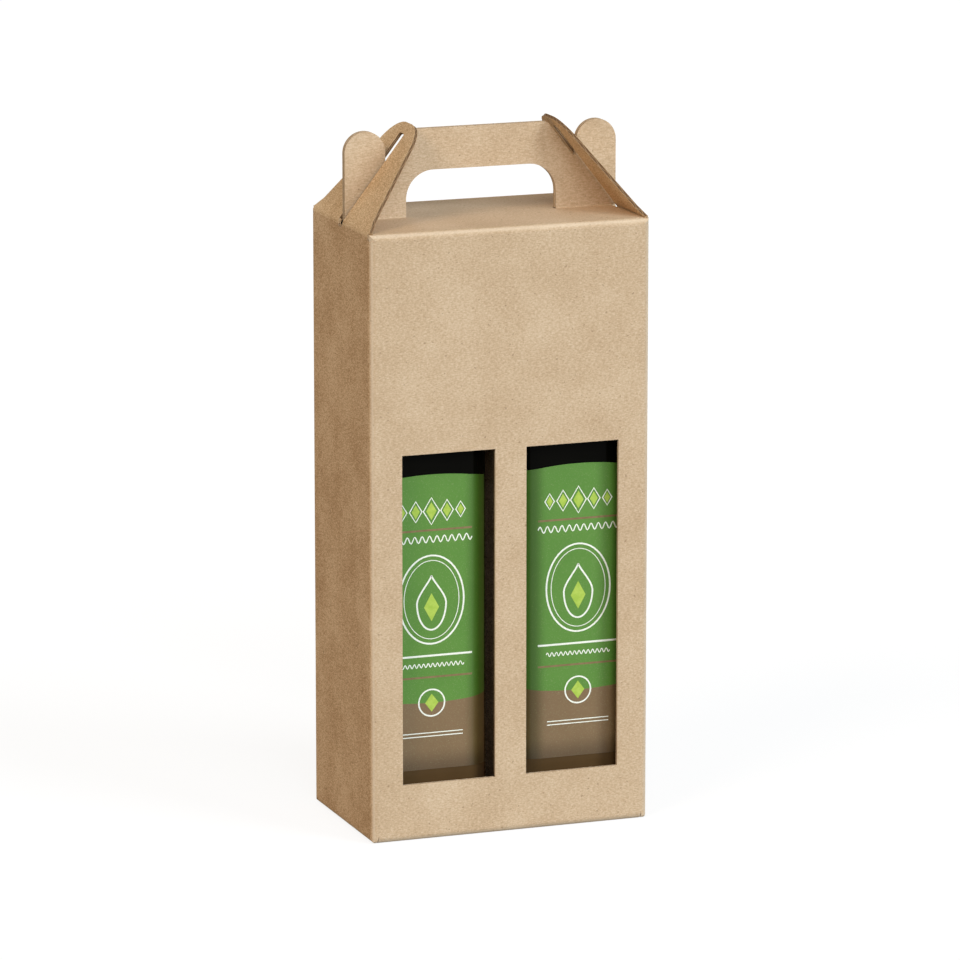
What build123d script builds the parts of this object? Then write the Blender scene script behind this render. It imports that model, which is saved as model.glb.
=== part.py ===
from build123d import *
import os
from math import cos, degrees, hypot, radians, sin, tan

# Gable top carrier box of brown micro flute board, with two square oil bottles inside.
# Millimetres. The origin is the middle of the foot, X runs to the right and Y to the back.

# Bottles
bottle_side = 59.0          # square body, across the flats
bottle_corner = 12.0        # radius of the body's upright corners
bottle_wall = 3.0           # glass thickness of the walls
bottle_base = 5.0           # glass thickness of the base
body_height = 188.0         # base to the start of the shoulder
shoulder_rise = 27.0        # start of the shoulder to the root of the neck
glass_height = 262.0        # base to the mouth
shoulder_round = 15.0       # radius where the body turns into the shoulder
neck_round = 9.0            # radius where the shoulder turns into the neck
neck_radius = 13.5
bore_radius = 10.0
bead_radius = 15.0          # collar under the screw cap
bead_height = 3.0
oil_drop = 20.0             # oil level under the root of the neck
cap_radius = 15.75
cap_height = 24.0
cap_wall = 0.4
pourer_flange = 1.0
pourer_depth = 14.0
pourer_wall = 1.2
spout_radius = 3.0

# Paper labels on the bottles
label_thickness = 0.2
label_foot = 29.0           # over the bottle's base
label_height = 135.0        # to the middle of the arched top
label_arch = 2.8            # how far the top falls away to both sides
label_wrap = 52.0           # degrees that the label goes round each corner
label_trim = 24.0           # length of the line that ends the label at each corner

# Board and box
board = 1.5                 # thickness of the fluted board
fold_radius = 3.0           # outside radius of every square fold
bay_slack = 5.75            # spare width in each bottle's bay
side_gap = 0.5              # bottle to side panel
front_gap = 6.1             # front panel to bottle
back_gap = 12.9             # bottle to back panel
headroom = 8.5              # over the screw caps, under the roof
fit_gap = 0.1               # between pieces that lie against each other
hinge_gap = 0.2             # slit at a crease that swings
roof_gap = 0.3              # roof panel to side panel at the crease

# Windows in the front panel
window_width = 44.5
window_height = 152.5
window_sill = 26.5
window_post = 15.0          # board left between the windows

# Top of the box: handle and side flaps
handle_height = 40.2
ear_radius = 9.7
notch_height = 24.0         # foot of the notch between ear and grip
notch_width = 1.5
notch_corner = 0.6
grip_corner = 2.5
hole_half = 36.0            # finger hole, half of its length
hole_height = 21.2
hole_corner = 13.0
flap_lean = 37.7            # degrees from upright
flap_bridge = 5.5           # board left over the end of the slot
flap_shoulder = 6.5         # length of the short step at the crease
flap_step = 5.7             # how far that step draws each side in
flap_past = 2.0             # flap's foot reaches past the flat of the side panel
flap_taper = 21.8           # degrees that each long edge slopes
flap_round = 17.0
slot_half = 3.0
slot_corner = 1.0
slot_clear = 2.0            # slot end over the swinging ear
slot_foot = 2.5             # how far the slot runs down into the side panel
slot_round = 2.0
lock_lift = 4.5             # rise of the ear before the slot has left it
roof_taper = 2.5            # degrees that a roof panel narrows towards the ridge
fold_split = 45.0           # degrees of the roof's fold that stay with the wall
fold_turn = 90.0            # degrees of the whole fold
half_turn = 180.0

# Base flaps, counted from the wall that each is folded from
base_mitre = 8.5            # slanted corner beside each fold
mitre_gap = 1.0             # side flaps stay this far inside the long flaps' corners
ramp_start = 4.0
back_ramp = 7.0             # run over which the back flap climbs two layers
side_ramp = 5.0             # run over which a side flap climbs one layer
shoulder_past = 10.0        # front flap's shoulders end this far behind the middle
tongue_set = 9.0            # tongue leaves the front flap this far before the middle
tongue_half = 24.0
tongue_gap = 2.0
tongue_flat = 1.0           # level stretch before the tongue's slope
tongue_rise = 15.0          # run of the tongue's slope
tongue_lap = 20.0           # tongue lying on the back flap
back_past = 10.5            # back flap's free edge, before the middle
side_short = 26.0           # side flaps' free edges, from the middle

# Glue flap and divider
glue_width = 14.0
glue_end = 12.0             # short of the wall's ends
glue_slant = 15.0           # degrees at each end of the flap
divider_height = 209.0
divider_cut = 22.0          # slanted upper front corner
flange_width = 20.0

# Levels and half widths that follow
front_level = board / 2
side_level = front_level + board + fit_gap
back_level = side_level + board + fit_gap
tongue_level = back_level + board + fit_gap
base_top = tongue_level + board / 2
bottle_stand = base_top + fit_gap
bottle_total = glass_height + pourer_flange + cap_wall + 2 * fit_gap
shoulder_height = bottle_stand + bottle_total + headroom + board
half_width = bottle_side + bay_slack + board / 2 + board
half_depth = (bottle_side + front_gap + back_gap) / 2 + board
inner_half_width = half_width - board
inner_half_depth = half_depth - board
mid_radius = fold_radius - board / 2
bend_height = shoulder_height - fold_radius
roof_level = shoulder_height - board / 2
flat_half_width = half_width - fold_radius
flat_half_depth = half_depth - fold_radius
bottle_x = inner_half_width - side_gap - bottle_side / 2
bottle_y = front_gap + bottle_side / 2 - inner_half_depth
cut_margin = 5.0            # how far a cutting shape runs past what it cuts

# Hinge lines and outlines of the top that follow
lean = radians(flap_lean)
ridge_y = board + fit_gap
roof_half = inner_half_width - roof_gap
roof_head = roof_half - (half_depth - ridge_y) * tan(radians(roof_taper))
swing_gap = degrees(hinge_gap / mid_radius)
plate_half = inner_half_width - hinge_gap
plate_foot = shoulder_height + fit_gap
plate_top = shoulder_height + handle_height
ear_level = plate_top - ear_radius
ear_x = plate_half - ear_radius
notch_level = shoulder_height + notch_height
grip_foot = plate_half - 2 * ear_radius - notch_width
grip_head = grip_foot - (plate_top - notch_level) * tan(lean)
slot_end = hypot(half_width - ear_x, ear_level - shoulder_height + lock_lift) + ear_radius + slot_clear
flap_length = slot_end + flap_bridge
flap_foot = flat_half_depth + flap_past
flap_waist = flap_foot - flap_step
flap_head = flap_waist - (flap_length - flap_shoulder) * tan(radians(flap_taper))
glue_drop = glue_width * tan(radians(glue_slant))


def sleeve_plan():
    """Plan of the box wall: one board thick, with a round fold at each corner."""
    RectangleRounded(2 * half_width, 2 * half_depth, fold_radius)
    RectangleRounded(
        2 * inner_half_width, 2 * inner_half_depth, fold_radius - board, mode=Mode.SUBTRACT
    )


def base_flap(plan, section, fold_half, reach, *climb):
    """Flap folded in from the foot of a wall, with mitred corners; climb is its way in."""
    waist_half = fold_half - base_mitre
    with BuildPart() as flap:
        with BuildSketch(section):
            with BuildLine() as mid_line:
                FilletPolyline(
                    (board / 2, fold_radius), (board / 2, board / 2), *climb, radius=mid_radius
                )
            trace(mid_line.line, board)
        extrude(amount=fold_half, both=True)
        with BuildSketch(plan):
            Polygon(
                (-fold_half, 0),
                (fold_half, 0),
                (fold_half, fold_radius),
                (waist_half, fold_radius + base_mitre),
                (waist_half, reach),
                (-waist_half, reach),
                (-waist_half, fold_radius + base_mitre),
                (-fold_half, fold_radius),
            )
        extrude(amount=base_top, mode=Mode.INTERSECT)
    return flap.part


def bottle_form(centre_x, inset, foot, top, neck):
    """Square bottle with a turned shoulder, drawn in by inset, from foot to top over its base."""
    wide = hypot(bottle_side / 2 - bottle_corner, bottle_side / 2 - bottle_corner) + bottle_corner
    stand = Plane(origin=(centre_x, bottle_y, bottle_stand))
    with BuildPart() as form:
        with BuildSketch(stand.offset(foot)):
            RectangleRounded(bottle_side - 2 * inset, bottle_side - 2 * inset, bottle_corner - inset)
        extrude(amount=top - foot)
        with BuildSketch(Plane(origin=stand.origin, x_dir=(1, 0, 0), z_dir=(0, -1, 0))):
            with BuildLine():
                FilletPolyline(
                    (0, foot),
                    (wide - inset, foot),
                    (wide - inset, body_height),
                    (neck, body_height + shoulder_rise),
                    (neck, top),
                    (0, top),
                    radius=(0, shoulder_round, neck_round, 0),
                )
                Line((0, top), (0, foot))
            make_face()
        revolve(axis=Axis(stand.origin, (0, 0, 1)), mode=Mode.INTERSECT)
    return form.part


# Plain long wall, standing at the front, with the lower half of the roof's fold on top
with BuildPart() as long_wall:
    with BuildSketch():
        sleeve_plan()
        Polygon(
            (-half_width, -half_depth),
            (half_width, -half_depth),
            (half_width - half_depth, 0),
            (half_depth - half_width, 0),
            mode=Mode.INTERSECT,
        )
    extrude(amount=bend_height)
    with BuildSketch(Plane.XZ):
        Rectangle(2 * flat_half_width, 2 * fold_radius)
    extrude(amount=half_depth + cut_margin, mode=Mode.SUBTRACT)
    with BuildSketch(Plane.YZ):
        with BuildLine() as lip:
            CenterArc((-flat_half_depth, bend_height), mid_radius, half_turn, swing_gap - fold_split)
        trace(lip.line, board)
    extrude(amount=roof_half, both=True)

# Front panel: the long wall with two windows
with BuildPart() as front_panel:
    add(long_wall.part)
    with BuildSketch(Plane.XZ):
        with Locations((0, window_sill + window_height / 2)):
            with GridLocations(window_width + window_post, 0, 2, 1):
                Rectangle(window_width, window_height)
    extrude(amount=half_depth + cut_margin, mode=Mode.SUBTRACT)

# Back panel: the long wall without windows
with BuildPart() as back_panel:
    mirror(long_wall.part, about=Plane.XZ)

# Side panels, cut back at the corners' folds, with the foot of the flap's slot in the top edge
with BuildPart() as left_panel:
    with BuildSketch():
        sleeve_plan()
        Polygon(
            (-half_width, -half_depth),
            (half_depth - half_width, 0),
            (-half_width, half_depth),
            mode=Mode.INTERSECT,
        )
    extrude(amount=shoulder_height)
    with BuildSketch(Plane.YZ):
        Rectangle(2 * flat_half_depth, 2 * fold_radius)
        with Locations((-half_depth, shoulder_height), (half_depth, shoulder_height)):
            Rectangle(2 * fold_radius, 2 * fold_radius)
        with Locations((0, shoulder_height)):
            RectangleRounded(2 * slot_half, 2 * slot_foot, slot_round)
    extrude(amount=-half_width - cut_margin, mode=Mode.SUBTRACT)

with BuildPart() as right_panel:
    mirror(left_panel.part, about=Plane.YZ)

# Glue flap: the maker's joint, a strip of the back panel stuck inside the left one
with BuildPart() as glue_flap:
    with BuildSketch(Plane.YZ.offset(-inner_half_width)):
        Polygon(
            (flat_half_depth, glue_end),
            (flat_half_depth, shoulder_height - glue_end),
            (flat_half_depth - glue_width, shoulder_height - glue_end - glue_drop),
            (flat_half_depth - glue_width, glue_end + glue_drop),
        )
    extrude(amount=board)

# Planes at the foot of the front and left walls: plan, and section along the way in
front_plan = Plane(origin=(0, -half_depth, 0), x_dir=(1, 0, 0), z_dir=(0, 0, 1))
front_section = Plane(origin=(0, -half_depth, 0), x_dir=(0, 1, 0), z_dir=(1, 0, 0))
left_plan = Plane(origin=(-half_width, 0, 0), x_dir=(0, -1, 0), z_dir=(0, 0, 1))
left_section = Plane(origin=(-half_width, 0, 0), x_dir=(1, 0, 0), z_dir=(0, -1, 0))
recess_half = tongue_half + tongue_gap
long_fold_half = flat_half_width - hinge_gap
front_reach = half_depth + shoulder_past

# Front base flap: outermost, with two shoulders and a tongue that climbs through the back flap
with BuildPart() as base_front_flap:
    add(base_flap(front_plan, front_section, long_fold_half, front_reach, (front_reach, front_level)))
    with BuildSketch():
        with Locations((0, (shoulder_past - tongue_set) / 2)):
            Rectangle(2 * recess_half, shoulder_past + tongue_set)
    extrude(amount=base_top, mode=Mode.SUBTRACT)
    with BuildSketch(Plane.YZ):
        with BuildLine() as tongue:
            FilletPolyline(
                (-tongue_set, front_level),
                (tongue_flat - tongue_set, front_level),
                (tongue_flat - tongue_set + tongue_rise, tongue_level),
                (tongue_flat - tongue_set + tongue_rise + tongue_lap, tongue_level),
                radius=mid_radius,
            )
        trace(tongue.line, board)
    extrude(amount=tongue_half, both=True)

# Side base flaps: second layer
with BuildPart() as base_left_flap:
    add(
        base_flap(
            left_plan,
            left_section,
            flat_half_depth - mitre_gap,
            half_width - side_short,
            (ramp_start, front_level),
            (ramp_start + side_ramp, side_level),
            (half_width - side_short, side_level),
        )
    )

with BuildPart() as base_right_flap:
    mirror(base_left_flap.part, about=Plane.YZ)

# Back base flap: third layer, with the recess that the tongue comes up through
with BuildPart() as recessed_flap:
    add(
        base_flap(
            front_plan,
            front_section,
            long_fold_half,
            half_depth + back_past,
            (ramp_start, front_level),
            (ramp_start + back_ramp, back_level),
            (half_depth + back_past, back_level),
        )
    )
    with BuildSketch():
        with Locations((0, back_past)):
            Rectangle(2 * recess_half, 2 * (back_past + tongue_flat - tongue_set + tongue_rise + hinge_gap))
    extrude(amount=base_top, mode=Mode.SUBTRACT)

with BuildPart() as base_back_flap:
    mirror(recessed_flap.part, about=Plane.XZ)

# Roof panels: upper half of the fold, the flat, and a lip between the legs of the handle
with BuildPart() as front_roof_panel:
    with BuildSketch(Plane.YZ):
        with BuildLine() as roof_line:
            CenterArc(
                (-flat_half_depth, bend_height),
                mid_radius,
                half_turn - fold_split,
                fold_split - fold_turn,
            )
            Line((-flat_half_depth, roof_level), (-ridge_y, roof_level))
        trace(roof_line.line, board)
    extrude(amount=roof_half, both=True)
    with BuildSketch(Plane.XY.offset(bend_height)):
        Polygon(
            (-roof_half, -half_depth),
            (roof_half, -half_depth),
            (roof_head, -ridge_y),
            (-roof_head, -ridge_y),
        )
    extrude(amount=fold_radius, mode=Mode.INTERSECT)
    with BuildSketch(Plane.XY.offset(shoulder_height)):
        with Locations((0, (-ridge_y - fit_gap) / 2)):
            Rectangle(2 * (hole_half - hinge_gap), ridge_y - fit_gap)
    extrude(amount=-board)

with BuildPart() as back_roof_panel:
    mirror(front_roof_panel.part, about=Plane.XZ)

# Handle panels: grip, finger hole, legs, and the ears that lock into the side flaps
with BuildPart() as front_handle_panel:
    with BuildSketch(Plane.XZ.offset(fit_gap)) as handle:
        Polygon(
            (-grip_foot, notch_level),
            (grip_foot, notch_level),
            (grip_head, plate_top),
            (-grip_head, plate_top),
        )
        fillet(handle.vertices().group_by(Axis.Y)[-1], radius=grip_corner)
        with Locations((0, (plate_foot + notch_level) / 2)):
            Rectangle(2 * plate_half, notch_level - plate_foot)
        for ear_side in (-ear_x, ear_x):
            with Locations((ear_side, (notch_level + ear_level) / 2)):
                Rectangle(2 * ear_radius, ear_level - notch_level)
            with Locations((ear_side, ear_level)):
                Circle(ear_radius)
        notch_ends = handle.vertices().filter_by_position(
            Axis.Y, notch_level - notch_corner, notch_level + notch_corner
        )
        fillet(notch_ends, radius=notch_corner)
        with Locations((0, shoulder_height)):
            RectangleRounded(2 * hole_half, 2 * hole_height, hole_corner, mode=Mode.SUBTRACT)
    extrude(amount=board)

with BuildPart() as back_handle_panel:
    mirror(front_handle_panel.part, about=Plane.XZ)

# Gable flaps: each leans in over the roof, slotted for the handle's ears
with BuildPart() as left_gable_flap:
    gable = Plane(
        origin=(-half_width, 0, shoulder_height), x_dir=(0, 1, 0), z_dir=(cos(lean), 0, -sin(lean))
    )
    with BuildSketch(gable) as flap:
        Polygon(
            (-flap_foot, 0),
            (flap_foot, 0),
            (flap_waist, flap_shoulder),
            (flap_head, flap_length),
            (-flap_head, flap_length),
            (-flap_waist, flap_shoulder),
        )
        fillet(flap.vertices().group_by(Axis.Y)[-1], radius=flap_round)
        RectangleRounded(2 * slot_half, 2 * slot_end, slot_corner, mode=Mode.SUBTRACT)
    extrude(amount=board)
    split(bisect_by=Plane.XY.offset(plate_foot), keep=Keep.TOP)

with BuildPart() as right_gable_flap:
    mirror(left_gable_flap.part, about=Plane.YZ)

# Divider: a web between the bottles and the flange that holds it to the back panel
web_back = inner_half_depth - fit_gap - board
with BuildPart() as divider_web:
    with BuildSketch(Plane.YZ):
        Polygon(
            (hinge_gap - inner_half_depth, bottle_stand),
            (web_back, bottle_stand),
            (web_back, divider_height),
            (divider_cut - inner_half_depth, divider_height),
            (hinge_gap - inner_half_depth, divider_height - divider_cut),
        )
    extrude(amount=board / 2, both=True)

with BuildPart() as divider_flange:
    with BuildSketch(Plane.XY.offset(bottle_stand)):
        with Locations((flange_width / 2 - board / 2, web_back + board / 2)):
            Rectangle(flange_width, board)
    extrude(amount=divider_height - bottle_stand)

pieces = {
    "front_panel": front_panel.part,
    "back_panel": back_panel.part,
    "left_panel": left_panel.part,
    "right_panel": right_panel.part,
    "glue_flap": glue_flap.part,
    "base_front_flap": base_front_flap.part,
    "base_left_flap": base_left_flap.part,
    "base_right_flap": base_right_flap.part,
    "base_back_flap": base_back_flap.part,
    "front_roof_panel": front_roof_panel.part,
    "back_roof_panel": back_roof_panel.part,
    "front_handle_panel": front_handle_panel.part,
    "back_handle_panel": back_handle_panel.part,
    "left_gable_flap": left_gable_flap.part,
    "right_gable_flap": right_gable_flap.part,
    "divider_web": divider_web.part,
    "divider_flange": divider_flange.part,
}

# Bottles: glass, oil, label, pourer and screw cap of each
bore_drop = glass_height + fit_gap
cap_foot = bottle_total - cap_height
oil_level = body_height + shoulder_rise - oil_drop
label_turn = radians(label_wrap)
corner_centre = bottle_side / 2 - bottle_corner
label_edge_x = corner_centre + label_trim * sin(label_turn)
label_edge_y = corner_centre + label_trim * cos(label_turn)
label_side = bottle_side / 2
label_top = label_foot + label_height
over_label = bottle_side + 2 * label_thickness
for side, centre_x in (("left", -bottle_x), ("right", bottle_x)):
    stand = Plane(origin=(centre_x, bottle_y, bottle_stand))

    with BuildPart() as glass:
        add(bottle_form(centre_x, 0, 0, glass_height, neck_radius))
        with BuildSketch(stand.offset(cap_foot - fit_gap - bead_height)):
            Circle(bead_radius)
        extrude(amount=bead_height)
        add(
            bottle_form(centre_x, bottle_wall, bottle_base, bore_drop, bore_radius),
            mode=Mode.SUBTRACT,
        )

    with BuildPart() as oil:
        add(
            bottle_form(
                centre_x,
                bottle_wall + fit_gap,
                bottle_base + fit_gap,
                glass_height,
                bore_radius - fit_gap,
            )
        )
        split(bisect_by=Plane.XY.offset(bottle_stand + oil_level), keep=Keep.BOTTOM)

    with BuildPart() as label:
        with BuildSketch(stand.offset(label_foot)):
            RectangleRounded(over_label, over_label, bottle_corner + label_thickness)
            RectangleRounded(bottle_side, bottle_side, bottle_corner, mode=Mode.SUBTRACT)
            Polygon(
                (-corner_centre, -corner_centre),
                (-label_edge_x, -label_edge_y),
                (-label_edge_x, -bottle_side),
                (label_edge_x, -bottle_side),
                (label_edge_x, -label_edge_y),
                (corner_centre, -corner_centre),
                mode=Mode.INTERSECT,
            )
        extrude(amount=label_height)
        with BuildSketch(Plane(origin=stand.origin, x_dir=(1, 0, 0), z_dir=(0, -1, 0))):
            with BuildLine():
                Polyline(
                    (-label_side, label_top - label_arch),
                    (-label_side, label_foot),
                    (label_side, label_foot),
                    (label_side, label_top - label_arch),
                )
                ThreePointArc(
                    (label_side, label_top - label_arch),
                    (0, label_top),
                    (-label_side, label_top - label_arch),
                )
            make_face()
        extrude(amount=bottle_side, mode=Mode.INTERSECT)

    with BuildPart() as pourer:
        with BuildSketch(stand.offset(glass_height + fit_gap)):
            Circle(neck_radius)
        extrude(amount=pourer_flange)
        with BuildSketch(stand.offset(glass_height + fit_gap)):
            Circle(bore_radius - fit_gap)
            Circle(bore_radius - fit_gap - pourer_wall, mode=Mode.SUBTRACT)
        extrude(amount=-pourer_depth)
        with BuildSketch(stand.offset(glass_height)):
            Circle(spout_radius)
        extrude(amount=2 * pourer_flange, mode=Mode.SUBTRACT)

    with BuildPart() as screw_cap:
        with BuildSketch(stand.offset(cap_foot)):
            Circle(cap_radius)
        extrude(amount=cap_height)
        with BuildSketch(stand.offset(cap_foot)):
            Circle(cap_radius - cap_wall)
        extrude(amount=cap_height - cap_wall, mode=Mode.SUBTRACT)

    pieces[f"{side}_bottle_glass"] = glass.part
    pieces[f"{side}_bottle_oil"] = oil.part
    pieces[f"{side}_bottle_label"] = label.part
    pieces[f"{side}_bottle_pourer"] = pourer.part
    pieces[f"{side}_bottle_cap"] = screw_cap.part

os.makedirs("parts", exist_ok=True)
for name, piece in pieces.items():
    piece.label = name
    export_step(piece, f"parts/{name}.step")
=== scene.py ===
from math import cos, hypot, pi, radians, sin, sqrt, tan

import bmesh
import bpy
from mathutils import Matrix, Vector


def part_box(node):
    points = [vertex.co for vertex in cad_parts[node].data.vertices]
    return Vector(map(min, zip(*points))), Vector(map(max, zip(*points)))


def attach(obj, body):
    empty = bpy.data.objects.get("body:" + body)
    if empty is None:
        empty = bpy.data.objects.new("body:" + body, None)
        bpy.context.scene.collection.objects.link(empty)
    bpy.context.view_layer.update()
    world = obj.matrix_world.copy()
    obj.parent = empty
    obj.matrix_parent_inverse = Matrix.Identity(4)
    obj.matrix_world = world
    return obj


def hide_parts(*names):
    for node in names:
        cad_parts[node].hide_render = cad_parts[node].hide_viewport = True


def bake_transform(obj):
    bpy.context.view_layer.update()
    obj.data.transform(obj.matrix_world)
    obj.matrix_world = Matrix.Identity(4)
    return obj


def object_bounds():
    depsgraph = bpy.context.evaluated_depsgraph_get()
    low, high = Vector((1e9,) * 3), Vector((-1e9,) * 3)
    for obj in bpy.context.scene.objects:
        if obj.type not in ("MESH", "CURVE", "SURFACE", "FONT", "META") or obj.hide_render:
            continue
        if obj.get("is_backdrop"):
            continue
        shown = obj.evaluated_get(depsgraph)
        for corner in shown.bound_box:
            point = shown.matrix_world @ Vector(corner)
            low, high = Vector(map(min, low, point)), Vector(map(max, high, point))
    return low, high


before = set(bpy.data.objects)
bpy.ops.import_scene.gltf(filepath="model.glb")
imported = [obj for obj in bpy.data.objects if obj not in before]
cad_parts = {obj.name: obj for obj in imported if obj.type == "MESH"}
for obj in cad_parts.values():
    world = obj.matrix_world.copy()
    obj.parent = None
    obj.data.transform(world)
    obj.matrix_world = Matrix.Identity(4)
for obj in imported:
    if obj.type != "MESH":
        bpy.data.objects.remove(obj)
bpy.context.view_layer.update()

# Looks of a gable top carrier box of brown micro flute board with two oil bottles inside.
# Metres. X runs to the right, Y to the back, and the camera stands in front.

scene = bpy.context.scene
MM = 0.001
WELD = 0.00001

# Board, folds and gable top, as in the frame
BOARD = 1.5 * MM
FOLD = 3.0 * MM               # outside radius of a square fold
RIDGE = 1.6 * MM              # from the box's middle to the outside of a handle panel
HOLE_HALF = 36.0 * MM         # finger hole, half of its length
ROOF_TAPER = radians(2.5)
LEAN = radians(37.7)          # gable flaps, from upright
FLAP_FOOT = 39.5 * MM         # gable flap at its crease, half of its width
SLOT_HALF = 3.0 * MM          # slot in a gable flap, half of its width
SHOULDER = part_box("left_panel")[1].z
HALF_X = -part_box("left_panel")[0].x
HALF_Y = -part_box("front_panel")[0].y
FLAT_X = HALF_X - FOLD
FLAT_Y = HALF_Y - FOLD
BEND_Z = SHOULDER - FOLD

# Look of the board's cut edges and creases
LINER = 0.28 * MM             # paper left standing on both sides of a cut edge
EDGE_SINK = 0.10 * MM
EDGE_ROUND = 0.09 * MM
FLUTE_PITCH = 3.2 * MM
GABLE_BEND = 3.8 * MM         # outside radius of the gable's crease
GABLE_RUN = GABLE_BEND * tan(LEAN / 2)
RIDGE_BEND = 0.9 * MM         # radius of the crease at the handle's foot
RIDGE_DEEP = 0.25 * MM        # thickness of that crease's strip
FOLD_STEPS = 10
SPAN_STEPS = 24
FOOT_CUTS = (20, 45, 70)      # degrees of the cuts that round the sleeve's foot
FACING_SIDE = 0.72            # a face turned further to the side has the side's grain and its painted shade
SHARP = radians(32)


# Node materials

def srgb(red, green, blue):
    """Linear colour with full alpha from a colour of 0 to 255."""
    def linear(value):
        value /= 255
        return value / 12.92 if value <= 0.04045 else ((value + 0.055) / 1.055) ** 2.4
    return (linear(red), linear(green), linear(blue), 1.0)


def node(tree, kind, *values, named=None, **settings):
    """New shader node: values fill its sockets in order, and named fills them by name."""
    made = tree.nodes.new("ShaderNode" + kind)
    for key, value in settings.items():
        setattr(made, key, value)
    for key, value in list(enumerate(values)) + list((named or {}).items()):
        if isinstance(value, bpy.types.NodeSocket):
            tree.links.new(value, made.inputs[key])
        elif value is not None:
            made.inputs[key].default_value = value
    return made


def calc(tree, operation, *values):
    return node(tree, "Math", *values, operation=operation).outputs[0]


def blended(tree, factor, first, second, how="MIX"):
    """Colour between two colours, or the first one times the second."""
    mix = node(tree, "Mix", data_type="RGBA", blend_type=how)
    for index, value in ((0, factor), (6, first), (7, second)):
        if isinstance(value, bpy.types.NodeSocket):
            tree.links.new(value, mix.inputs[index])
        else:
            mix.inputs[index].default_value = value
    return mix.outputs[2]


def ramp(tree, value, low, high, smooth=True):
    """0 below low and 1 above high, or the other way round where low is above high."""
    kind = "SMOOTHSTEP" if smooth else "LINEAR"
    ends = (low, high, 0.0, 1.0) if low < high else (high, low, 1.0, 0.0)
    return node(tree, "MapRange", value, *ends, interpolation_type=kind).outputs[0]


def spread(tree, pattern, low, high):
    """The usual span of a noise, spread from low to high."""
    return node(tree, "MapRange", pattern, 0.3, 0.7, low, high).outputs[0]


def place(tree, scale=(1, 1, 1)):
    """Position in the object, scaled by axis."""
    position = node(tree, "TexCoord").outputs["Object"]
    return node(tree, "VectorMath", position, scale, operation="MULTIPLY").outputs[0]


def noise(tree, where, scale, detail=2.0, roughness=0.5):
    named = {"Vector": where, "Scale": scale, "Detail": detail, "Roughness": roughness}
    return node(tree, "TexNoise", named=named).outputs[0]


def bumped(tree, height, strength, distance):
    named = {"Strength": strength, "Distance": distance, "Height": height}
    return node(tree, "Bump", named=named).outputs[0]


def start(name, **constants):
    """New material and its shader, with the values that are the same all over."""
    material = bpy.data.materials.new(name)
    material.use_nodes = True
    tree = material.node_tree
    shader = next(n for n in tree.nodes if n.type == "BSDF_PRINCIPLED")
    for key, value in constants.items():
        shader.inputs[key.replace("_", " ")].default_value = value
    return material, tree, shader


def wire(tree, shader, colour, rough, normal):
    for key, socket in (("Base Color", colour), ("Roughness", rough), ("Normal", normal)):
        tree.links.new(socket, shader.inputs[key])


# Kraft board: colours, and noise scales per metre
KRAFT_DARK = srgb(171, 141, 107)
KRAFT_MEAN = srgb(202, 175, 143)
KRAFT_PALE = srgb(223, 201, 172)
# Fold colour: crushed liner together with a painted highlight
KRAFT_FOLD_HIGHLIGHT = srgb(232, 213, 187)
KRAFT_FLECK = srgb(126, 96, 66)
# Painted shade in the hollows of the flute on a cut edge
EDGE_HOLLOW_SHADE = srgb(96, 68, 44)
# Painted shade: warmer and darker kraft for faces turned to the side
SIDE_PAINTED_SHADE = (1.0, 0.91, 0.81, 1.0)
# Painted light: paler kraft for the gable flaps
GABLE_PAINTED_LIGHT = (1.12, 1.08, 0.99, 1.0)
FIBRE_ACROSS = 2100.0
FIBRE_ALONG = 620.0
GRAIN = 1300.0
CLOUDS = 42.0
FLECKS = 620.0
WRINKLES = 900.0


def kraft_parts(tree, wave):
    """Colour factor, paper relief and flute's turn of kraft liner; wave is the axis across the flutes."""
    scale = [FIBRE_ACROSS] * 3
    scale["xyz".index(wave)] = FIBRE_ALONG
    fibres = noise(tree, place(tree, scale), 1.0, 3.0, 0.6)
    grain = noise(tree, place(tree), GRAIN, 2.0, 0.6)
    clouds = noise(tree, place(tree), CLOUDS, 3.0, 0.6)
    shade = calc(tree, "MULTIPLY_ADD", fibres, 0.50, -0.02)
    shade = calc(tree, "MULTIPLY_ADD", grain, 0.32, shade)
    shade = calc(tree, "MULTIPLY_ADD", clouds, 0.22, shade)
    paper = calc(tree, "ADD", calc(tree, "MULTIPLY", fibres, 0.6), calc(tree, "MULTIPLY", grain, 0.4))
    across = node(tree, "SeparateXYZ", place(tree)).outputs["XYZ".index(wave.upper())]
    turn = calc(tree, "MULTIPLY", across, 2 * pi / FLUTE_PITCH)
    return shade, paper, turn


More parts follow.
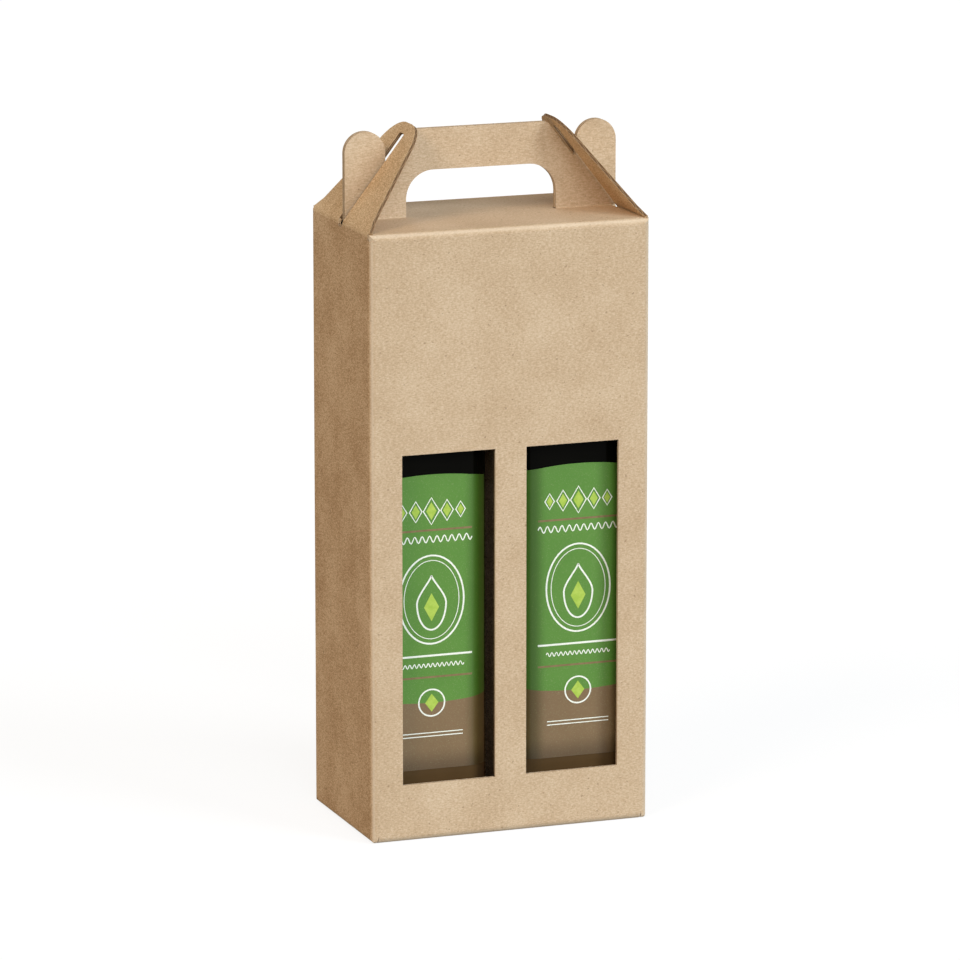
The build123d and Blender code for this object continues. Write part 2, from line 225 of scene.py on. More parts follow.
def kraft(name, wave, folds=True, coarse=1.0, painted_lighting=None):
    """Brown kraft liner: fibres along the wave axis, grain, clouds, flecks, and folds made paler, partly
    crushed liner and partly painted highlight; a tint paints light into the gables' copy and shade into
    the sides' copy.
    """
    material, tree, shader = start(name, Specular_IOR_Level=0.22)
    shade, paper, turn = kraft_parts(tree, wave)
    shade = calc(tree, "MULTIPLY_ADD", shade, coarse, 0.5 * (1 - coarse))
    colour = blended(tree, ramp(tree, shade, 0.28, 0.52, False), KRAFT_DARK, KRAFT_MEAN)
    colour = blended(tree, ramp(tree, shade, 0.50, 0.72, False), colour, KRAFT_PALE)
    flecks = ramp(tree, noise(tree, place(tree), FLECKS, 1.0, 0.4), 0.70, 0.76)
    colour = blended(tree, calc(tree, "MULTIPLY", flecks, 0.45), colour, KRAFT_FLECK)
    # The tint paints light (gables) and shade (sides) over the whole copy
    if painted_lighting:
        colour = blended(tree, 1.0, colour, painted_lighting, "MULTIPLY")
    height = calc(tree, "MULTIPLY_ADD", calc(tree, "SINE", turn), 0.10, paper)
    if folds:
        # A face that looks along no axis is on a fold, painted paler: partly the crushed liner, partly a
        # painted highlight
        facing = node(tree, "VectorMath", node(tree, "TexCoord").outputs["Normal"], operation="ABSOLUTE")
        x, y, z = node(tree, "SeparateXYZ", facing.outputs[0]).outputs
        most = calc(tree, "MAXIMUM", x, calc(tree, "MAXIMUM", y, z))
        fold = ramp(tree, most, 0.985, 0.78)
        colour = blended(tree, calc(tree, "MULTIPLY", fold, 0.42), colour, KRAFT_FOLD_HIGHLIGHT)
        wrinkles = noise(tree, place(tree), WRINKLES, 3.0, 0.7)
        crushed = calc(tree, "MULTIPLY", calc(tree, "MULTIPLY", fold, wrinkles), 0.8)
        height = calc(tree, "ADD", height, crushed)
    wire(tree, shader, colour, spread(tree, paper, 0.78, 0.93), bumped(tree, height, 0.55, 0.07 * MM))
    return material


def cut_edge(name, wave, low=KRAFT_DARK, high=KRAFT_PALE, hollow_shade_strength=0.50):
    """Cut edge of the board: two liners and the wave of the flute between them, with painted shade in the
    flute's hollows.
    """
    material, tree, shader = start(name, Specular_IOR_Level=0.2)
    shade, paper, turn = kraft_parts(tree, wave)
    depth = node(tree, "Attribute", attribute_name="depth").outputs["Fac"]
    middle = calc(tree, "MULTIPLY_ADD", calc(tree, "SINE", turn), 0.26, 0.5)
    off_wave = calc(tree, "ABSOLUTE", calc(tree, "SUBTRACT", depth, middle))
    off_middle = calc(tree, "ABSOLUTE", calc(tree, "SUBTRACT", depth, 0.5))
    shaded_hollow = calc(tree, "MULTIPLY", ramp(tree, off_wave, 0.07, 0.16), ramp(tree, off_middle, 0.40, 0.32))
    colour = blended(tree, ramp(tree, shade, 0.30, 0.66, False), low, high)
    # Painted shade in the flute's hollows
    colour = blended(tree, calc(tree, "MULTIPLY", shaded_hollow, hollow_shade_strength), colour, EDGE_HOLLOW_SHADE)
    height = calc(tree, "MULTIPLY_ADD", shaded_hollow, -1.2, paper)
    wire(tree, shader, colour, spread(tree, paper, 0.85, 0.97), bumped(tree, height, 0.6, 0.1 * MM))
    return material


def plain(name, colour, other, scale, rough_low, rough_high, bump, **constants):
    """Moulded, printed or poured surface: two near colours, uneven gloss and fine relief."""
    material, tree, shader = start(name, **constants)
    mottle = noise(tree, place(tree), scale, 3.0, 0.6)
    fine = noise(tree, place(tree), scale * 9, 2.0, 0.5)
    wire(
        tree,
        shader,
        blended(tree, ramp(tree, mottle, 0.3, 0.7), colour, other),
        spread(tree, mottle, rough_low, rough_high),
        bumped(tree, fine, bump, 0.03 * MM),
    )
    return material


def dark_glass():
    """Nearly black glass, with a painted reflection of the brown box in its thick foot."""
    material, tree, shader = start("dark_glass", Specular_IOR_Level=0.03, IOR=1.5)
    mottle = noise(tree, place(tree), 40.0, 3.0, 0.6)
    body = blended(tree, mottle, srgb(5, 5, 3), srgb(11, 10, 7))
    # Painted reflection: the brown of the box, in the glass's foot
    foot = blended(tree, mottle, srgb(70, 52, 30), srgb(92, 70, 44))
    height = node(tree, "SeparateXYZ", place(tree)).outputs[2]
    fine = noise(tree, place(tree), 360.0, 2.0, 0.5)
    wire(
        tree,
        shader,
        blended(tree, ramp(tree, height, 60 * MM, 30 * MM), body, foot),
        spread(tree, mottle, 0.04, 0.11),
        bumped(tree, fine, 0.10, 0.03 * MM),
    )
    return material


# Label: its place on the bottle, its colours, and where painted shade darkens them
LABEL_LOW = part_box("left_bottle_label")[0].z - 4.5 * MM
LABEL_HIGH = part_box("left_bottle_label")[1].z - 2.5 * MM
LABEL_THICK = 0.2 * MM
LABEL_ARCH = 2.8 * MM         # how far the top falls away to both sides
LABEL_TURN = radians(52.0)    # how far the label goes round each corner
LABEL_GREENS = (srgb(79, 126, 45), srgb(92, 138, 55))
LABEL_TAUPES = (srgb(117, 93, 63), srgb(129, 104, 74))
LABEL_TOOTH = srgb(170, 176, 130)
BAND_TOP = 62.0 * MM          # taupe band's top in the middle of the label
BAND_BOW = 2.9                # rise of that line per square metre aside
# Painted shade where the label turns round the bottle's corners
WRAP_SHADE = (0.54, 0.55, 0.36, 1.0)
WRAP_START = 15.0 * MM
WRAP_END = 21.5 * MM
# Painted shade at the label's foot
FOOT_SHADE = (0.52, 0.50, 0.46, 1.0)
FOOT_RISE = 11.0 * MM


def label_paper(name, centre_x):
    """Satin label: green field over a taupe band, parted by a shallow bow."""
    material, tree, shader = start(name, Specular_IOR_Level=0.35, Coat_Weight=0.12, Coat_Roughness=0.25)
    x, y, z = node(tree, "SeparateXYZ", place(tree)).outputs
    aside = calc(tree, "SUBTRACT", x, centre_x)
    bow = calc(tree, "MULTIPLY", calc(tree, "MULTIPLY", aside, aside), BAND_BOW)
    level = calc(tree, "SUBTRACT", z, calc(tree, "ADD", bow, BAND_TOP))
    field = ramp(tree, level, -0.06 * MM, 0.06 * MM)
    tooth = noise(tree, place(tree), 2400.0, 2.0, 0.6)
    clouds = noise(tree, place(tree), 60.0, 2.0, 0.5)
    green = blended(tree, clouds, *LABEL_GREENS)
    taupe = blended(tree, clouds, *LABEL_TAUPES)
    colour = blended(tree, field, taupe, green)
    pores = calc(tree, "MULTIPLY", ramp(tree, tooth, 0.55, 0.8), 0.35)
    colour = blended(tree, pores, colour, LABEL_TOOTH)
    # Painted shade toward both ends of the label, where it wraps the corners
    painted_wrap_shade = ramp(tree, calc(tree, "ABSOLUTE", aside), WRAP_START, WRAP_END)
    colour = blended(tree, painted_wrap_shade, colour, WRAP_SHADE, "MULTIPLY")
    # Painted shade at the label's foot, darker towards the bottom
    foot = ramp(tree, z, LABEL_LOW + FOOT_RISE, LABEL_LOW)
    colour = blended(tree, foot, colour, FOOT_SHADE, "MULTIPLY")
    wire(tree, shader, colour, spread(tree, tooth, 0.34, 0.46), bumped(tree, tooth, 0.15, 0.02 * MM))
    return material


kraft_x = kraft("kraft_x", "x")
# Side kraft: warmer and darker as painted shade, with a coarser grain
kraft_y_shaded = kraft("kraft_y_shaded", "y", coarse=2.4, painted_lighting=SIDE_PAINTED_SHADE)
# Gable kraft: paler, painted light
kraft_gable_lit = kraft("kraft_gable_lit", "y", folds=False, coarse=1.8, painted_lighting=GABLE_PAINTED_LIGHT)
kraft_crease = kraft("kraft_crease", "x", folds=False)
edge_x = cut_edge("edge_x", "x")
edge_y = cut_edge("edge_y", "y")
# Darker copy of the cut edge for the gable flaps: painted shade
edge_gable_shaded = cut_edge("edge_gable_shaded", "y", srgb(122, 94, 66), srgb(168, 138, 104), 0.85)
glass = dark_glass()
oil = plain("oil", srgb(96, 88, 12), srgb(112, 99, 20), 30.0, 0.05, 0.1, 0.05)
pourer = plain("pourer", srgb(226, 226, 218), srgb(236, 236, 230), 90.0, 0.3, 0.45, 0.15)
lacquer = plain("lacquer", srgb(24, 24, 23), srgb(34, 34, 32), 120.0, 0.28, 0.42, 0.25, Metallic=0.6)
ink_cream = plain("ink_cream", srgb(236, 238, 222), srgb(246, 247, 236), 700.0, 0.35, 0.5, 0.15)
ink_lime = plain("ink_lime", srgb(160, 190, 66), srgb(178, 202, 84), 500.0, 0.35, 0.5, 0.15)
ink_brown = plain("ink_brown", srgb(118, 97, 60), srgb(132, 110, 72), 500.0, 0.35, 0.5, 0.15)


# Meshes of board

def finished(name, bm, body, slot, *materials):
    """Object of a mesh, riding on its body, with soft shading across small angles only."""
    mesh = bpy.data.meshes.new(name)
    bmesh.ops.recalc_face_normals(bm, faces=bm.faces)
    bm.to_mesh(mesh)
    bm.free()
    for material in materials:
        mesh.materials.append(material)
    mesh.shade_smooth()
    mesh.set_sharp_from_angle(angle=SHARP)
    made = bpy.data.objects.new(name, mesh)
    scene.collection.objects.link(made)
    weighted = made.modifiers.new("normals", "WEIGHTED_NORMAL")
    weighted.keep_sharp = True
    if body:
        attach(made, body)
    return made


def add_shell(bm, outer, inner, ring=False):
    """Closed sheet between two grids of points; ring joins the last row to the first."""
    rows, columns = len(outer), len(outer[0])
    tops = [[bm.verts.new(p) for p in row] for row in outer]
    feet = [[bm.verts.new(p) for p in row] for row in inner]
    for i in range(rows if ring else rows - 1):
        k = (i + 1) % rows
        for j in range(columns - 1):
            bm.faces.new((tops[i][j], tops[i][j + 1], tops[k][j + 1], tops[k][j]))
            bm.faces.new((feet[i][j], feet[k][j], feet[k][j + 1], feet[i][j + 1]))
        for j in (0, columns - 1):
            bm.faces.new((tops[i][j], tops[k][j], feet[k][j], feet[i][j]))
    if not ring:
        for i in (0, rows - 1):
            for j in range(columns - 1):
                bm.faces.new((tops[i][j], tops[i][j + 1], feet[i][j + 1], feet[i][j]))


def cut_off(bm, point, normal):
    """Take away what lies beyond a plane, and close the mesh there."""
    geometry = bm.verts[:] + bm.edges[:] + bm.faces[:]
    bmesh.ops.bisect_plane(
        bm, geom=geometry, dist=WELD, plane_co=point, plane_no=normal, clear_outer=True
    )
    bmesh.ops.holes_fill(bm, edges=[e for e in bm.edges if e.is_boundary], sides=0)


def solid_of(node_name, *cuts):
    """Mesh of a CAD node, cut off beyond each (point, normal)."""
    bm = bmesh.new()
    bm.from_mesh(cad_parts[node_name].data)
    bmesh.ops.remove_doubles(bm, verts=bm.verts, dist=WELD)
    for point, normal in cuts:
        cut_off(bm, point, normal)
    return bm


def dressed(name, bm, body, is_edge, depth, liner, edge, *replaced, more=()):
    """Board with its cut edges sunk between the liners and softly rounded."""
    bmesh.ops.dissolve_limit(bm, angle_limit=radians(0.6), verts=bm.verts, edges=bm.edges)
    bmesh.ops.recalc_face_normals(bm, faces=bm.faces)
    cut = [f for f in bm.faces if is_edge(f.normal, f.calc_center_median())]
    for face in cut:
        face.material_index = 1
    chosen = set(cut)
    border = [e for e in bm.edges if sum(f in chosen for f in e.link_faces) == 1]
    sunk = bmesh.ops.inset_region(
        bm, faces=cut, thickness=LINER, depth=-EDGE_SINK, use_boundary=True, use_even_offset=True
    )
    for face in sunk["faces"]:
        face.material_index = 1
    bmesh.ops.bevel(
        bm,
        geom=[e for e in border if e.is_valid],
        offset=EDGE_ROUND,
        segments=2,
        profile=0.5,
        affect="EDGES",
        clamp_overlap=True,
    )
    layer = bm.verts.layers.float.new("depth")
    for vert in bm.verts:
        vert[layer] = min(1.0, max(0.0, depth(vert.co) / BOARD))
    made = finished(name, bm, body, "kraft_board", liner, edge, *more)
    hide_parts(*replaced)
    return made


def crosses_x(normal, centre):
    """Edge of a board that stands square to X."""
    return abs(normal.x) < 0.5


def crosses_y(normal, centre):
    """Edge of a board that stands square to Y."""
    return abs(normal.y) < 0.5


# Sleeve: the four walls in one piece, with round upright folds and a rounded foot
def sleeve_depth(co):
    over_x = max(abs(co.x) - FLAT_X, 0.0)
    over_y = max(abs(co.y) - FLAT_Y, 0.0)
    return FOLD - hypot(over_x, over_y)


def sleeve_edge(normal, centre):
    window = abs(normal.y) < 0.5 and abs(centre.y) > FLAT_Y + FOLD / 2 and abs(centre.x) < FLAT_X - MM
    notch = abs(normal.x) < 0.5 and abs(centre.y) < SLOT_HALF + MM and abs(centre.x) > FLAT_X
    return (window and FOLD * 2 < centre.z < BEND_Z - FOLD) or (notch and centre.z > BEND_Z)


sleeve = bmesh.new()
for wall, level in (
    ("front_panel", BEND_Z),
    ("back_panel", BEND_Z),
    ("left_panel", SHOULDER - GABLE_RUN),
    ("right_panel", SHOULDER - GABLE_RUN),
):
    part = solid_of(wall, ((0, 0, level), (0, 0, 1)))
    swap = bpy.data.meshes.new("swap")
    part.to_mesh(swap)
    part.free()
    sleeve.from_mesh(swap)
    bpy.data.meshes.remove(swap)
bmesh.ops.remove_doubles(sleeve, verts=sleeve.verts, dist=WELD)
seam = HALF_X - HALF_Y
inner_faces = [
    f for f in sleeve.faces if all(abs(abs(v.co.x) - abs(v.co.y) - seam) < 2 * WELD for v in f.verts)
]
bmesh.ops.delete(sleeve, geom=inner_faces, context="FACES")
for turn in FOOT_CUTS:
    down, out = -sin(radians(turn)), cos(radians(turn))
    for side in (-1, 1):
        for bend in (Vector((side * FLAT_X, 0, FOLD)), Vector((0, side * FLAT_Y, FOLD))):
            normal = Vector((bend.x, bend.y, 0)).normalized() * out + Vector((0, 0, down))
            cut_off(sleeve, bend + normal * FOLD, normal)
sleeve.normal_update()
# Faces turned to the side take the side kraft, with its grain and painted shade
for face in sleeve.faces:
    if abs(face.normal.x) > FACING_SIDE:
        face.material_index = 2
dressed(
    "sleeve", sleeve, "carton", sleeve_edge, sleeve_depth, kraft_x, edge_x,
    "front_panel", "back_panel", "left_panel", "right_panel", more=(kraft_y_shaded,),
)


# Base flaps, glue flap and divider
def base_long_edge(normal, centre):
    return abs(normal.z) < 0.5 and not (abs(normal.y) > 0.8 and abs(centre.y) > FLAT_Y - MM / 10)


def base_side_edge(normal, centre):
    return abs(normal.z) < 0.5 and not (abs(normal.x) > 0.8 and abs(centre.x) > FLAT_X - MM / 10)


for name, is_edge, liner, edge in (
    ("base_front_flap", base_long_edge, kraft_x, edge_x),
    ("base_back_flap", base_long_edge, kraft_x, edge_x),
    ("base_left_flap", base_side_edge, kraft_y_shaded, edge_y),
    ("base_right_flap", base_side_edge, kraft_y_shaded, edge_y),
):
    dressed(name + "_board", solid_of(name), "carton", is_edge, lambda co: co.z, liner, edge, name)

flange_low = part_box("divider_flange")[0]
for name, is_edge, depth, liner, edge in (
    ("glue_flap", crosses_x, lambda co: co.x + HALF_X - BOARD, kraft_y_shaded, edge_y),
    ("divider_web", crosses_x, lambda co: co.x + BOARD / 2, kraft_y_shaded, edge_y),
    ("divider_flange", crosses_y, lambda co: co.y - flange_low.y, kraft_x, edge_x),
):
    dressed(name + "_board", solid_of(name), "carton", is_edge, depth, liner, edge, name)


# Roof panels, handle panels and their creases, front and back
def roof_edge(normal, centre):
    return abs(normal.z) < 0.5 and abs(centre.y) < FLAT_Y - MM / 10


for end, face in (("front", -1), ("back", 1)):
    dressed(
        end + "_roof_board", solid_of(end + "_roof_panel", ((0, face * FLAT_Y, 0), (0, face, 0))),
        end + "_roof", roof_edge, lambda co: SHOULDER - co.z, kraft_x, edge_x, end + "_roof_panel",
    )
    dressed(
        end + "_handle_board", solid_of(end + "_handle_panel"),
        end + "_handle", crosses_y, lambda co: RIDGE - abs(co.y), kraft_x, edge_x, end + "_handle_panel",
    )

    # Roof fold, from the wall round to the flat, with its ends rounded into the upright folds
    sheets = []
    for radius in (FOLD, FOLD - BOARD):
        grid = []
        for i in range(FOLD_STEPS + 1):
            turn = radians(90) * i / FOLD_STEPS
            out = radius * cos(turn)
            reach = FLAT_X + sqrt(FOLD * FOLD - out * out)
            y, z = face * (FLAT_Y + out), BEND_Z + radius * sin(turn)
            grid.append([Vector((reach * (2 * j / SPAN_STEPS - 1), y, z)) for j in range(SPAN_STEPS + 1)])
        sheets.append(grid)
    bm = bmesh.new()
    add_shell(bm, *sheets)
    fold = finished(end + "_roof_fold", bm, None, "kraft_board", kraft_x)
    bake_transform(fold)

    # Crease at the foot of each leg of the handle
    bm = bmesh.new()
    leg_start = HOLE_HALF + MM / 5
    leg_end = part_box(end + "_roof_panel")[1].x - (HALF_Y - RIDGE) * tan(ROOF_TAPER) - MM / 10
    for leg in (-1, 1):
        tops, feet = [], []
        for i in range(FOLD_STEPS + 1):
            turn = radians(90) * i / FOLD_STEPS
            y = RIDGE + RIDGE_BEND * (1 - sin(turn))
            z = SHOULDER + RIDGE_BEND * (1 - cos(turn))
            under_y, under_z = y - RIDGE_DEEP * sin(turn), z - RIDGE_DEEP * cos(turn)
            tops.append([Vector((leg * x, face * y, z)) for x in (leg_start, leg_end)])
            feet.append([Vector((leg * x, face * under_y, under_z)) for x in (leg_start, leg_end)])
        add_shell(bm, tops, feet)
    crease = finished(end + "_handle_crease_board", bm, None, "kraft_board", kraft_crease)
    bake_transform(crease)

# Gable flaps, and the crease under each on both sides of its slot
for end, side in (("left", -1), ("right", 1)):
    hinge = Vector((side * HALF_X, 0, SHOULDER))
    up = Vector((-side * sin(LEAN), 0, cos(LEAN)))
    inward = Vector((-side * cos(LEAN), 0, -sin(LEAN)))

    def gable_edge(normal, centre):
        return abs(normal.dot(inward)) < 0.5 and (centre - hinge).dot(up) > GABLE_RUN + MM / 20

    dressed(
        end + "_gable_board", solid_of(end + "_gable_flap", (hinge + up * GABLE_RUN, -up)),
        end + "_gable", gable_edge, lambda co: (co - hinge).dot(inward), kraft_gable_lit, edge_gable_shaded,
        end + "_gable_flap",
    )
    bm = bmesh.new()
    for part in (-1, 1):
        sheets = []
        for radius in (GABLE_BEND, GABLE_BEND - BOARD):
            grid = []
            for i in range(FOLD_STEPS + 1):
                turn = LEAN * i / FOLD_STEPS
                x = HALF_X - GABLE_BEND + radius * cos(turn)
                z = SHOULDER - GABLE_RUN + radius * sin(turn)
                wide = FLAT_Y + (FLAP_FOOT - FLAT_Y) * max(0, 2 * i / FOLD_STEPS - 1)
                grid.append([Vector((side * x, part * y, z)) for y in (SLOT_HALF, wide)])
            sheets.append(grid)
        add_shell(bm, *sheets)
    crease = finished(end + "_gable_fold", bm, None, "kraft_board", kraft_gable_lit)
    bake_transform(crease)


# Bottles
glass_low, glass_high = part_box("left_bottle_glass")
BOTTLE_HALF = (glass_high.x - glass_low.x) / 2
BOTTLE_Y = (glass_low.y + glass_high.y) / 2
CORNER = 12.0 * MM            # radius of the glass's upright corners
LABEL_FLAT = BOTTLE_HALF - CORNER
LABEL_REACH = LABEL_FLAT + (CORNER + LABEL_THICK) * LABEL_TURN
LABEL_COLUMNS = 36
LABEL_ROWS = 12
PRINT_LIFT = 0.035 * MM
PRINT_HALF = 19.5 * MM        # print reaches this far from the label's middle
CREST_Z = 151.0 * MM
OVAL_Z = 110.0 * MM
RING_Z = 62.0 * MM
CREST = tuple((x, 6.2 - abs(x) * 0.18) for x in (-14.0, -7.5, 0.0, 7.5, 14.0))  # aside and half height
CAP_RIBS = 72
CAP_RIB_DEEP = 0.35 * MM

# Outline of a screw cap in millimetres: inset from its radius, height, and share of the ribs' depth.
# The heights count up from the foot, and then down from the top.
CAP_FOOT = (
    (0.4, 0.0, 0), (0.1, 0.0, 0), (0.0, 0.3, 0), (0.0, 4.6, 0), (0.3, 4.9, 0), (0.3, 5.3, 0),
    (0.0, 5.6, 0), (0.0, 7.0, 0), (0.0, 7.6, 1),
)
CAP_TOP = (
    (0.0, 3.6, 1), (0.0, 3.0, 0), (0.0, 1.2, 0), (0.35, 0.35, 0), (1.2, 0.0, 0), (3.0, 0.0, 0),
)


def on_label(centre_x, along, z, lift):
    """Point over a label: along is counted on the paper from its middle."""
    turn = max(abs(along) - LABEL_FLAT, 0.0) / (CORNER + LABEL_THICK)
    radius = CORNER + LABEL_THICK + lift
    x = min(abs(along), LABEL_FLAT) + radius * sin(turn)
    y = BOTTLE_Y - LABEL_FLAT - radius * cos(turn)
    return Vector((centre_x + (x if along > 0 else -x), y, z))


def label_top(along):
    return LABEL_HIGH - LABEL_ARCH * (along / LABEL_REACH) ** 2


def stroke(path, width, closed=False):
    """Line of print: rows of two points, either side of a path in (along, height)."""
    rows = []
    count = len(path)
    for i, (x, z) in enumerate(path):
        before = path[(i - 1) % count] if closed else path[max(i - 1, 0)]
        after = path[(i + 1) % count] if closed else path[min(i + 1, count - 1)]
        run = Vector((after[0] - before[0], after[1] - before[1])).normalized() * width / 2
        rows.append([(x - run.y, z + run.x), (x + run.y, z - run.x)])
    return rows, closed


def oval(centre_z, wide, high, steps=48, pinch=0.0):
    """Closed path round an oval; pinch draws its top to a point."""
    path = []
    for i in range(steps):
        turn = 2 * pi * i / steps
        x = wide * sin(turn) * (1 - pinch * max(0.0, -cos(turn)) ** 1.5)
        path.append((x, centre_z - high * cos(turn)))
    return path


def lozenge(x, z, wide, high):
    """Filled lozenge."""
    foot, top = (x, z - high), (x, z + high)
    return [[foot, foot], [(x - wide, z), (x + wide, z)], [top, top]], False


def rule(z, half, width, steps=16):
    """Level line."""
    return stroke([(half * (2 * i / steps - 1), z) for i in range(steps + 1)], width)


def zigzag(z, half, high, count, width):
    """Row of small waves."""
    steps = count * 8
    path = [
        (half * (2 * i / steps - 1), z + high * sin(2 * pi * count * i / steps)) for i in range(steps + 1)
    ]
    return stroke(path, width)


def print_on(name, centre_x, ink, shapes):
    """Thin layer of print on a label."""
    bm = bmesh.new()
    for rows, closed in shapes:
        tops = [[on_label(centre_x, x, z, PRINT_LIFT) for x, z in row] for row in rows]
        feet = [[on_label(centre_x, x, z, 0.0) for x, z in row] for row in rows]
        add_shell(bm, tops, feet, closed)
    bmesh.ops.remove_doubles(bm, verts=bm.verts, dist=WELD / 10)
    bmesh.ops.dissolve_degenerate(bm, edges=bm.edges, dist=WELD / 10)
    finished(name, bm, "carton", "label_paper", ink)


def turned(name, profile, centre_x, slot, material):
    """Turned form with upright ribs; a profile point is radius, height and share of the ribs."""
    bm = bmesh.new()
    steps = CAP_RIBS * 4
    rings = []
    for radius, z, share in profile:
        ring = []
        for i in range(steps):
            turn = 2 * pi * i / steps
            r = radius - CAP_RIB_DEEP * share * (0.5 - 0.5 * cos(CAP_RIBS * turn))
            ring.append(bm.verts.new((centre_x + r * cos(turn), BOTTLE_Y + r * sin(turn), z)))
        rings.append(ring)
    for low, high in zip(rings, rings[1:]):
        for i in range(steps):
            k = (i + 1) % steps
            bm.faces.new((low[i], low[k], high[k], high[i]))
    bm.faces.new(rings[0])
    bm.faces.new(rings[-1])
    return finished(name, bm, "carton", slot, material)


# The print: a crest of lozenges, an oval with a drop, waves, rules and a ring
cream = [
    stroke(oval(OVAL_Z, 15.5 * MM, 20.5 * MM), 0.8 * MM, True),
    stroke(oval(OVAL_Z, 13.2 * MM, 18.2 * MM), 0.35 * MM, True),
    stroke(oval(OVAL_Z - 1.5 * MM, 7.0 * MM, 12.5 * MM, pinch=0.92), 0.8 * MM, True),
    zigzag(138.0 * MM, PRINT_HALF, 1.5 * MM, 11, 0.55 * MM),
    rule(84.0 * MM, PRINT_HALF, 0.9 * MM),
    zigzag(79.5 * MM, PRINT_HALF - 4 * MM, 0.9 * MM, 14, 0.45 * MM),
    stroke(oval(RING_Z, 6.2 * MM, 6.2 * MM), 0.7 * MM, True),
    rule(48.0 * MM, 15.0 * MM, 0.45 * MM),
    rule(46.4 * MM, 15.0 * MM, 0.45 * MM),
]
for x, size in CREST:
    corners = [(x - size * 0.62, 0.0), (x, size), (x + size * 0.62, 0.0), (x, -size)]
    cream.append(stroke([(u * MM, CREST_Z + v * MM) for u, v in corners], 0.6 * MM, True))
lime = [lozenge(x * MM, CREST_Z, size * 0.4 * MM, size * 0.66 * MM) for x, size in CREST]
lime.append(lozenge(0.0, OVAL_Z - 3.5 * MM, 3.6 * MM, 6.5 * MM))
lime.append(lozenge(0.0, RING_Z, 3.2 * MM, 4.2 * MM))
brown = [rule(142.2 * MM, PRINT_HALF, 0.9 * MM), rule(74.0 * MM, PRINT_HALF, 0.9 * MM)]

for end in ("left", "right"):
    low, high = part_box(end + "_bottle_glass")
    centre_x = (low.x + high.x) / 2
    for part, material in (("glass", glass), ("oil", oil), ("pourer", pourer)):
        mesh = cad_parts[f"{end}_bottle_{part}"].data
        mesh.materials.clear()
        mesh.materials.append(material)

    # Label paper, wrapped round both front corners, with its arched top
    outer, inner = [], []
    for i in range(LABEL_ROWS + 1):
        line = []
        for j in range(LABEL_COLUMNS + 1):
            along = LABEL_REACH * (2 * j / LABEL_COLUMNS - 1)
            line.append((along, LABEL_LOW + (label_top(along) - LABEL_LOW) * i / LABEL_ROWS))
        outer.append([on_label(centre_x, x, z, 0.0) for x, z in line])
        inner.append([on_label(centre_x, x, z, -LABEL_THICK) for x, z in line])
    bm = bmesh.new()
    add_shell(bm, outer, inner)
    label = finished(
        end + "_label_paper", bm, "carton", "label_paper", label_paper(end + "_label", centre_x)
    )
    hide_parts(end + "_bottle_label")
    print_on(end + "_print_cream", centre_x, ink_cream, cream)
    print_on(end + "_print_lime", centre_x, ink_lime, lime)
    print_on(end + "_print_brown", centre_x, ink_brown, brown)

    # Screw cap with a ribbed skirt and a plain ring below it
    low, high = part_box(end + "_bottle_cap")
    radius = (high.x - low.x) / 2
    profile = [(radius - inset * MM, low.z + rise * MM, share) for inset, rise, share in CAP_FOOT]
    profile += [(radius - inset * MM, high.z - drop * MM, share) for inset, drop, share in CAP_TOP]
    made = turned(end + "_screw_cap", profile, centre_x, "cap_metal", lacquer)
    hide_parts(end + "_bottle_cap")


# Stage, light and camera
LIGHT_FILL = 0.25
SEEN_WHITE = 1.0
FLOOR_HALF = 6.0
FLOOR_LEVEL = -0.05 * MM
FLOOR_BOUNCE = (0.34, 0.33, 0.30, 1.0)
FLOOR_SEEN = (0.22, 0.22, 0.22, 1.0)
FLOOR_GLOW = 0.84
WORLD_TONE = (1.02, 1.0, 0.92, 1.0)
WHITE = (1.0, 1.0, 1.0, 1.0)

# Lamps: power, width in degrees, colour, and the direction in which each stands
LAMPS = (
    ("key", 0.35, 34, (0.90, 1.01, 1.12), (-0.05, -0.89, 0.45)),
    ("right_lamp", 0.54, 26, (0.90, 1.01, 1.12), (0.57, -0.72, 0.40)),
    ("left_lamp", 0.38, 26, (1.0, 0.80, 0.60), (-0.68, -0.42, 0.60)),
    ("back_lamp", 0.22, 5, (1.0, 1.0, 1.0), (0.15, 0.98, 0.05)),
)

CAMERA_TURN = radians(-20.17)
CAMERA_RISE = radians(12.58)
CAMERA_AWAY = 2.831
FOCAL_PIXELS = 6184.0
PICTURE_PIXELS = 960.0
FRAME_RAISE = 34.0            # pixels from the box's middle up to the picture's
SENSOR = 36.0


def seen_directly(tree):
    """1 for what the camera sees, directly or in gloss or glass."""
    path = node(tree, "LightPath")
    seen = calc(tree, "MAXIMUM", path.outputs["Is Camera Ray"], path.outputs["Is Glossy Ray"])
    return calc(tree, "MAXIMUM", seen, path.outputs["Is Transmission Ray"])


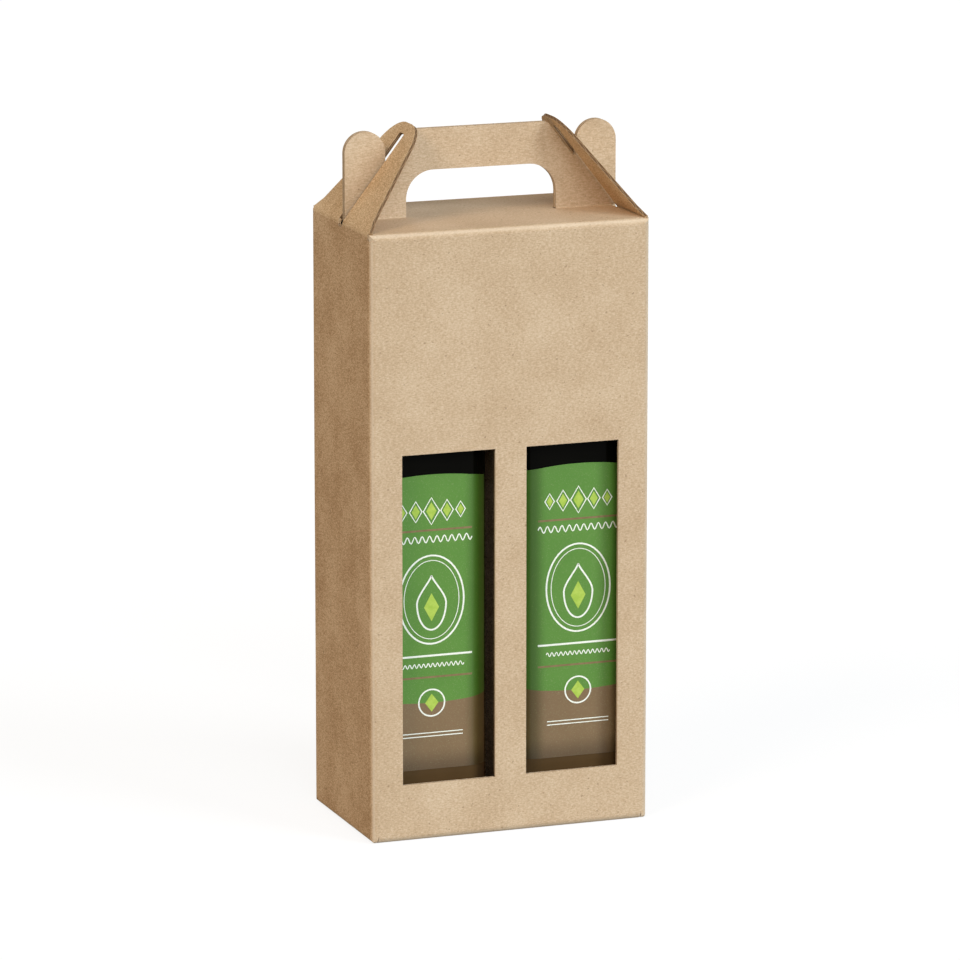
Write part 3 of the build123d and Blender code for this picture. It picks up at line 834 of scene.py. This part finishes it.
floor_mesh = bpy.data.meshes.new("floor")
floor_mesh.from_pydata(
    [(x * FLOOR_HALF, y * FLOOR_HALF, FLOOR_LEVEL) for x, y in ((-1, -1), (1, -1), (1, 1), (-1, 1))],
    [],
    [(0, 1, 2, 3)],
)
floor = bpy.data.objects.new("floor", floor_mesh)
scene.collection.objects.link(floor)
floor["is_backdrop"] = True
paint = bpy.data.materials.new("floor_paint")
paint.use_nodes = True
tree = paint.node_tree
tree.nodes.clear()
bounce = node(tree, "BsdfDiffuse", FLOOR_BOUNCE)
pale = node(tree, "BsdfDiffuse", FLOOR_SEEN)
glow = node(tree, "Emission", WHITE, FLOOR_GLOW)
seen_floor = node(tree, "AddShader", pale.outputs[0], glow.outputs[0])
surface = node(tree, "MixShader", seen_directly(tree), bounce.outputs[0], seen_floor.outputs[0])
node(tree, "OutputMaterial", surface.outputs[0])
floor_mesh.materials.append(paint)

world = bpy.data.worlds.new("world")
scene.world = world
world.use_nodes = True
tree = world.node_tree
tree.nodes.clear()
strength = node(tree, "MapRange", seen_directly(tree), 0.0, 1.0, LIGHT_FILL, SEEN_WHITE)
tone = blended(tree, seen_directly(tree), WORLD_TONE, WHITE)
background = node(tree, "Background", tone, strength.outputs[0])
node(tree, "OutputWorld", background.outputs[0])

for name, power, width, colour, direction in LAMPS:
    data = bpy.data.lights.new(name, "SUN")
    data.energy = power * pi
    data.angle = radians(width)
    data.color = colour
    lamp = bpy.data.objects.new(name, data)
    scene.collection.objects.link(lamp)
    lamp.rotation_mode = "QUATERNION"
    lamp.rotation_quaternion = Vector(direction).to_track_quat("Z", "Y")

camera_data = bpy.data.cameras.new("camera")
camera_data.sensor_width = SENSOR
camera_data.lens = FOCAL_PIXELS / PICTURE_PIXELS * camera_data.sensor_width
camera_data.clip_start = 0.1
camera_data.clip_end = 50.0
camera = bpy.data.objects.new("camera", camera_data)
scene.collection.objects.link(camera)
back = Vector((
    sin(CAMERA_TURN) * cos(CAMERA_RISE), -cos(CAMERA_TURN) * cos(CAMERA_RISE), sin(CAMERA_RISE)
))
right = Vector((cos(CAMERA_TURN), sin(CAMERA_TURN), 0))
box_middle = Vector((0, 0, SHOULDER / 2))
camera.location = box_middle + back * CAMERA_AWAY
aim = box_middle + back.cross(right) * CAMERA_AWAY * FRAME_RAISE / FOCAL_PIXELS
camera.rotation_mode = "QUATERNION"
camera.rotation_quaternion = (camera.location - aim).to_track_quat("Z", "Y")
scene.camera = camera
scene.view_settings.view_transform = "Standard"

low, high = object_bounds()
